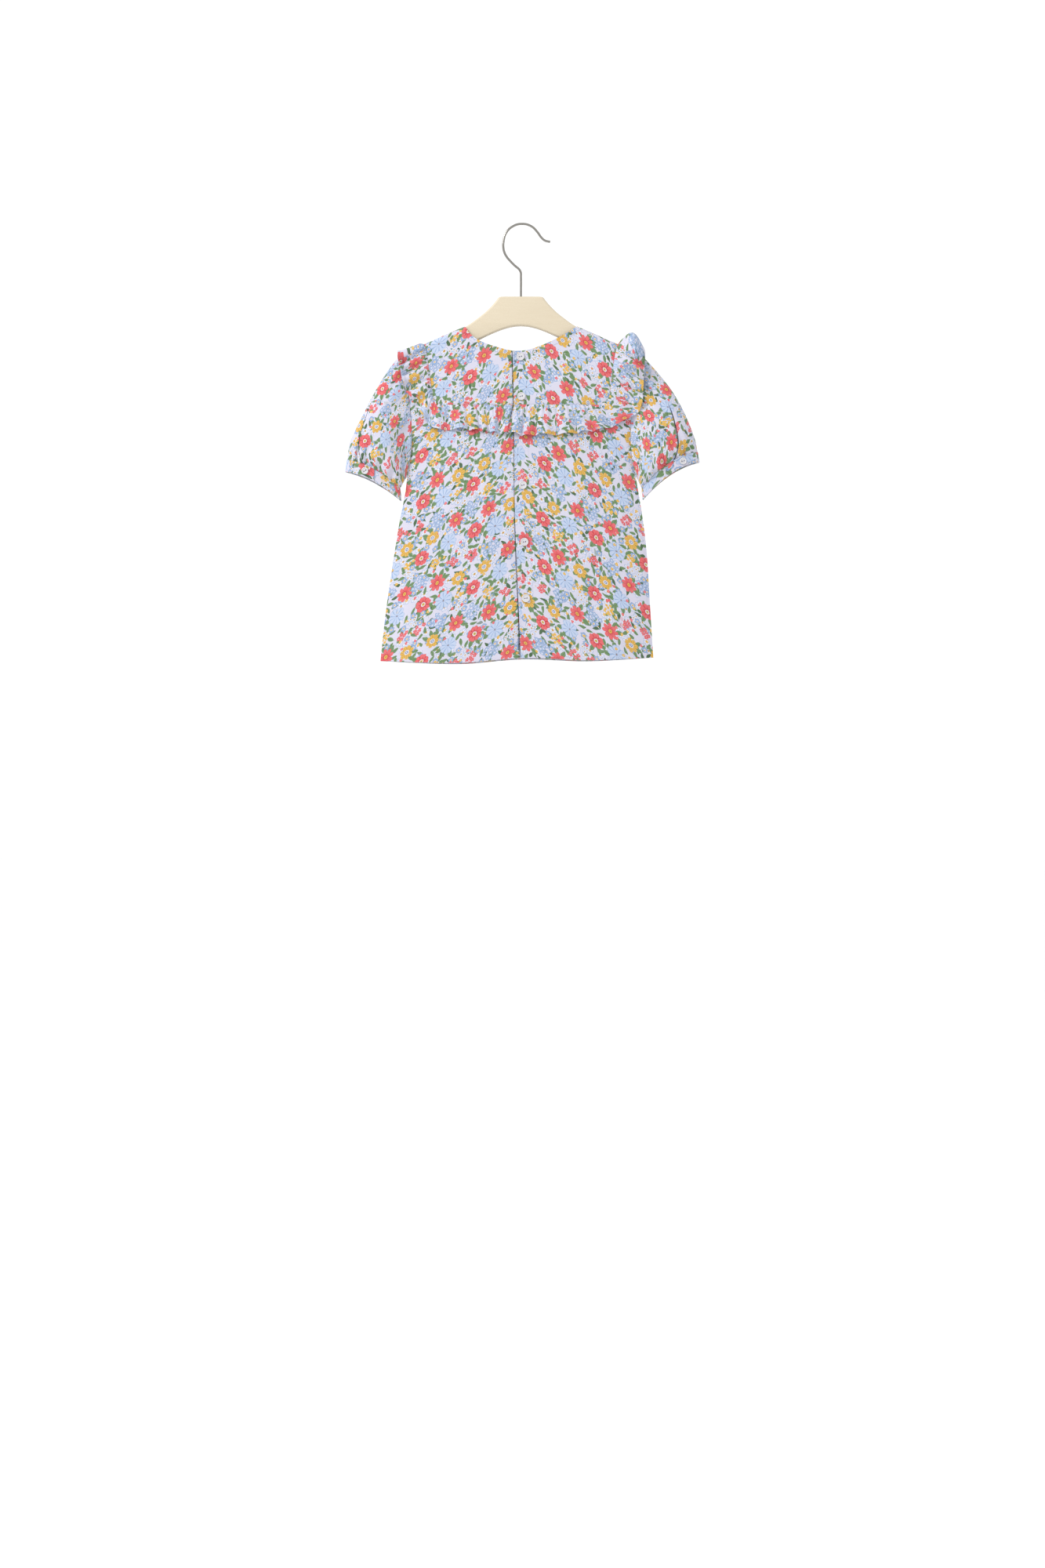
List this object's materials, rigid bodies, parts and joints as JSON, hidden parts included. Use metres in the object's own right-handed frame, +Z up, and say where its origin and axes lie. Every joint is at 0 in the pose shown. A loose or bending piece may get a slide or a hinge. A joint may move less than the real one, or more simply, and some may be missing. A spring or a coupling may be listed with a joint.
{
  "type": "blouse on a hanger",
  "caption": "Short-sleeved child's blouse with a ruffled yoke, cuffs and a buttoned back, held flat on a hanger by its hook.",
  "frame": {"origin": "inside top of the hanger's hook, where a rail carries it", "axes": "+Z up, +X across the shoulders towards the wearer's right, -Y out of the buttoned back"},
  "size_m": [0.454, 0.064, 0.5651],
  "materials": {
    "print_cloth": "matte",
    "button": "pearly",
    "hanger_paint": "satin",
    "hook_wire": "polished"
  },
  "bodies": {
    "root": {"back_yoke_left": "print_cloth", "back_yoke_right": "print_cloth", "back_panel_left": "print_cloth", "back_panel_right": "print_cloth", "front_yoke": "print_cloth", "front_panel": "print_cloth", "sleeve_left": "print_cloth", "sleeve_right": "print_cloth", "cuff_left": "print_cloth", "cuff_right": "print_cloth", "ruffle_back_left": "print_cloth", "ruffle_back_right": "print_cloth", "ruffle_front": "print_cloth", "button_1": "button", "button_2": "button", "button_3": "button", "button_4": "button", "button_5": "button", "cuff_button_left": "button", "cuff_button_right": "button", "hanger": "hanger_paint", "hook": "hook_wire"}
  },
  "joints": []
}
